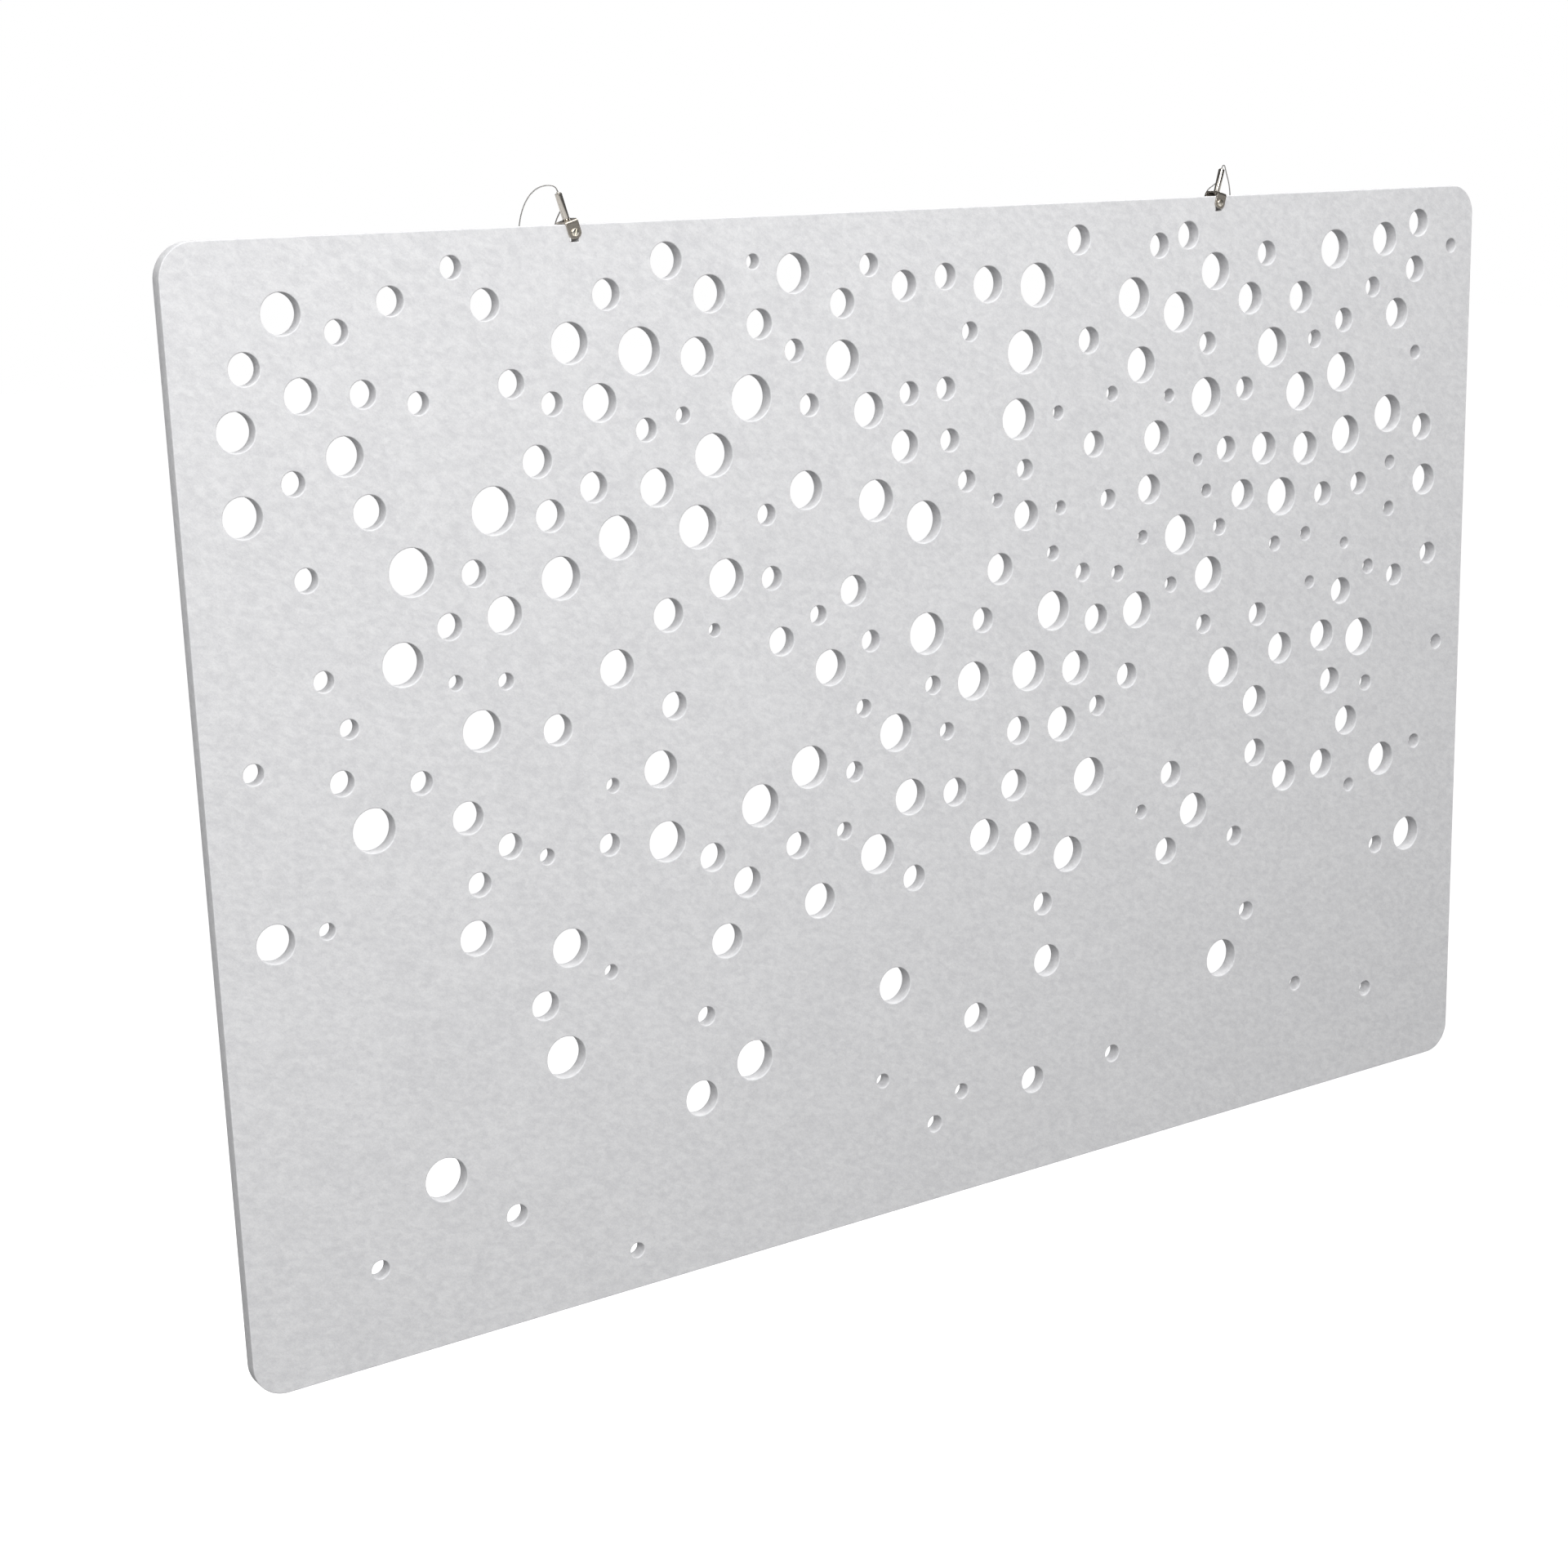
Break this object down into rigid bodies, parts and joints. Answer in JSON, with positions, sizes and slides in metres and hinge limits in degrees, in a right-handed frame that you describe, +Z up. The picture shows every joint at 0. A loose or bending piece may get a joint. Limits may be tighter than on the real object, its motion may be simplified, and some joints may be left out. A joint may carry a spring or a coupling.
{
  "type": "acoustic ceiling baffle",
  "caption": "Flat rectangular acoustic baffle in grey felt with scattered round holes, hung on edge from two pivoting stirrup hangers with wire grippers and spare wire coils.",
  "frame": {"origin": "middle of the panel's top edge, halfway through the felt's thickness: the line that the baffle hangs from", "axes": "+X along the panel to the right as seen from the front, +Y from the front face to the back, +Z up"},
  "size_m": [1.2, 0.0228, 0.8271],
  "materials": {
    "felt": "pressed PET felt, pale cool grey, matte, finely mottled",
    "nickel_strip": "nickel-plated bent strip, satin",
    "nickel_turned": "nickel-plated turned brass, polished",
    "screw_steel": "nickel-plated slotted screw",
    "jaw_brass": "plain machined brass",
    "spring_steel": "spring steel wire",
    "wire_steel": "fine stranded galvanised steel wire",
    "socket_nickel": "nickel-plated turned brass, polished"
  },
  "bodies": {
    "panel": {"felt_panel": "felt"},
    "hanger_left": {"stirrup_left": "nickel_strip", "sleeve_left": "nickel_turned", "front_screw_left": "screw_steel", "back_screw_left": "screw_steel", "base_screw_left": "screw_steel", "gripper_body_left": "nickel_turned", "plunger_spring_left": "spring_steel", "suspension_wire_left": "wire_steel", "wire_tail_left": "wire_steel", "wire_coil_left": "wire_steel", "wire_stop_left": "socket_nickel", "ceiling_socket_left": "socket_nickel"},
    "release_left": {"plunger_left": "nickel_turned", "clamp_jaws_left": "jaw_brass"},
    "hanger_right": {"stirrup_right": "nickel_strip", "sleeve_right": "nickel_turned", "front_screw_right": "screw_steel", "back_screw_right": "screw_steel", "base_screw_right": "screw_steel", "gripper_body_right": "nickel_turned", "plunger_spring_right": "spring_steel", "suspension_wire_right": "wire_steel", "wire_tail_right": "wire_steel", "wire_coil_right": "wire_steel", "wire_stop_right": "socket_nickel", "ceiling_socket_right": "socket_nickel"},
    "release_right": {"plunger_right": "nickel_turned", "clamp_jaws_right": "jaw_brass"}
  },
  "joints": [
    {"name": "hanger_left_swing", "type": "hinge", "parent": "panel", "child": "hanger_left", "pos_m": [-0.3, 0, -0.0055], "axis": [0, 1, 0], "range_deg": [0, 33]},
    {"name": "plunger_left_press", "type": "slide", "parent": "hanger_left", "child": "release_left", "axis": [-0.284, 0, 0.9588], "range_m": [-0.0012, 0], "stiffness_N_per_m": 400, "springref_m": 0.002, "deforming": ["plunger_spring_left"]},
    {"name": "hanger_right_swing", "type": "hinge", "parent": "panel", "child": "hanger_right", "pos_m": [0.3, 0, -0.0055], "axis": [0, 1, 0], "range_deg": [-33, 0]},
    {"name": "plunger_right_press", "type": "slide", "parent": "hanger_right", "child": "release_right", "axis": [0.284, 0, 0.9588], "range_m": [-0.0012, 0], "stiffness_N_per_m": 400, "springref_m": 0.002, "deforming": ["plunger_spring_right"]}
  ]
}
